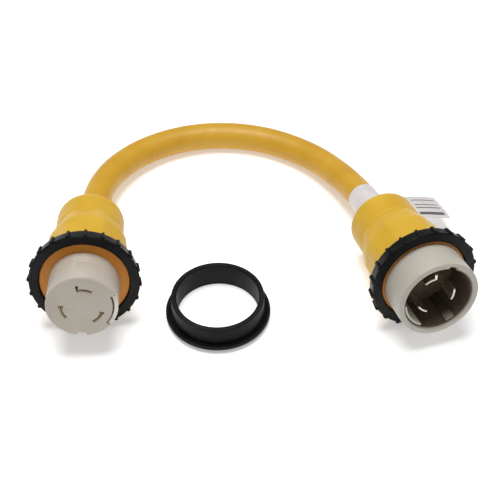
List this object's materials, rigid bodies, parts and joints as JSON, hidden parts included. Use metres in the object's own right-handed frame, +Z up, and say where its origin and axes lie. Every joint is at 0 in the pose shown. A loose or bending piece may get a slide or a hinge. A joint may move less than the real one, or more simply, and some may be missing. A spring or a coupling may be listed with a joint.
{
  "type": "power adapter lead",
  "caption": "Short heavy yellow lead with a round locking female connector at one end, a shrouded male plug at the other, black ribbed locking rings and a loose sealing collar.",
  "frame": {"origin": "bottom centre of the box round the two connectors and the collar as they lie on the floor, without the cable and its label", "axes": "+Z up; +X from the female connector to the male one; -Y out of both connectors' faces, +Y towards the cable's bend"},
  "size_m": [0.3198, 0.2496, 0.0801],
  "materials": {
    "boot_yellow": "satin moulded vinyl",
    "cable_yellow": "satin extruded jacket",
    "ring_black": "fine matt moulding",
    "collar_black": "matt rubber",
    "nose_white": "satin moulding",
    "shroud_white": "satin moulding",
    "insert_brown": "matt moulding",
    "plate_brown": "matt moulding",
    "contact_brass": "bright rolled strip",
    "blade_tin": "plated, lightly drawn",
    "strip_metal": "plated, lightly drawn",
    "clamp_steel": "zinc plated",
    "screw_steel": "zinc plated",
    "lead_black": "extruded vinyl",
    "lead_red": "extruded vinyl",
    "lead_white": "extruded vinyl",
    "lead_green": "extruded vinyl",
    "label_white": "satin vinyl label"
  },
  "bodies": {
    "adapter": {"female_boot": "boot_yellow", "female_nose": "nose_white", "female_back_plate": "plate_brown", "female_plate_screw_a": "screw_steel", "female_plate_screw_b": "screw_steel", "female_neutral_contact": "contact_brass", "female_line_contact_a": "contact_brass", "female_line_contact_b": "contact_brass", "female_ground_contact": "strip_metal", "female_cord_clamp": "clamp_steel", "female_lead_black": "lead_black", "female_lead_red": "lead_red", "female_lead_white": "lead_white", "female_lead_green": "lead_green", "male_boot": "boot_yellow", "male_shroud": "shroud_white", "male_insert": "insert_brown", "male_liner": "insert_brown", "male_back_plate": "plate_brown", "male_plate_screw_a": "screw_steel", "male_plate_screw_b": "screw_steel", "male_neutral_blade": "blade_tin", "male_line_blade_a": "blade_tin", "male_line_blade_b": "blade_tin", "male_ground_strip_large": "strip_metal", "male_ground_strip_small": "strip_metal", "male_cord_clamp": "clamp_steel", "male_lead_black": "lead_black", "male_lead_red": "lead_red", "male_lead_white": "lead_white", "male_lead_green": "lead_green", "cable_jacket": "cable_yellow", "label_band": "label_white", "label_flag": "label_white"},
    "female_ring": {"female_locking_ring": "ring_black"},
    "male_ring": {"male_locking_ring": "ring_black"},
    "collar": {"sealing_collar": "collar_black"}
  },
  "joints": [
    {"name": "female_ring_spin", "type": "hinge", "parent": "adapter", "child": "female_ring", "pos_m": [-0.11993, -0.0221, 0.03959], "axis": [0.0704, -0.9817, 0.1771], "continuous": true},
    {"name": "male_ring_spin", "type": "hinge", "parent": "adapter", "child": "male_ring", "pos_m": [0.12008, -0.01913, 0.03957], "axis": [0.2928, -0.9457, 0.1409], "continuous": true},
    {"name": "collar_lift", "type": "slide", "parent": "adapter", "child": "collar", "axis": [0, 0, 1], "range_m": [0, 0.1]}
  ]
}
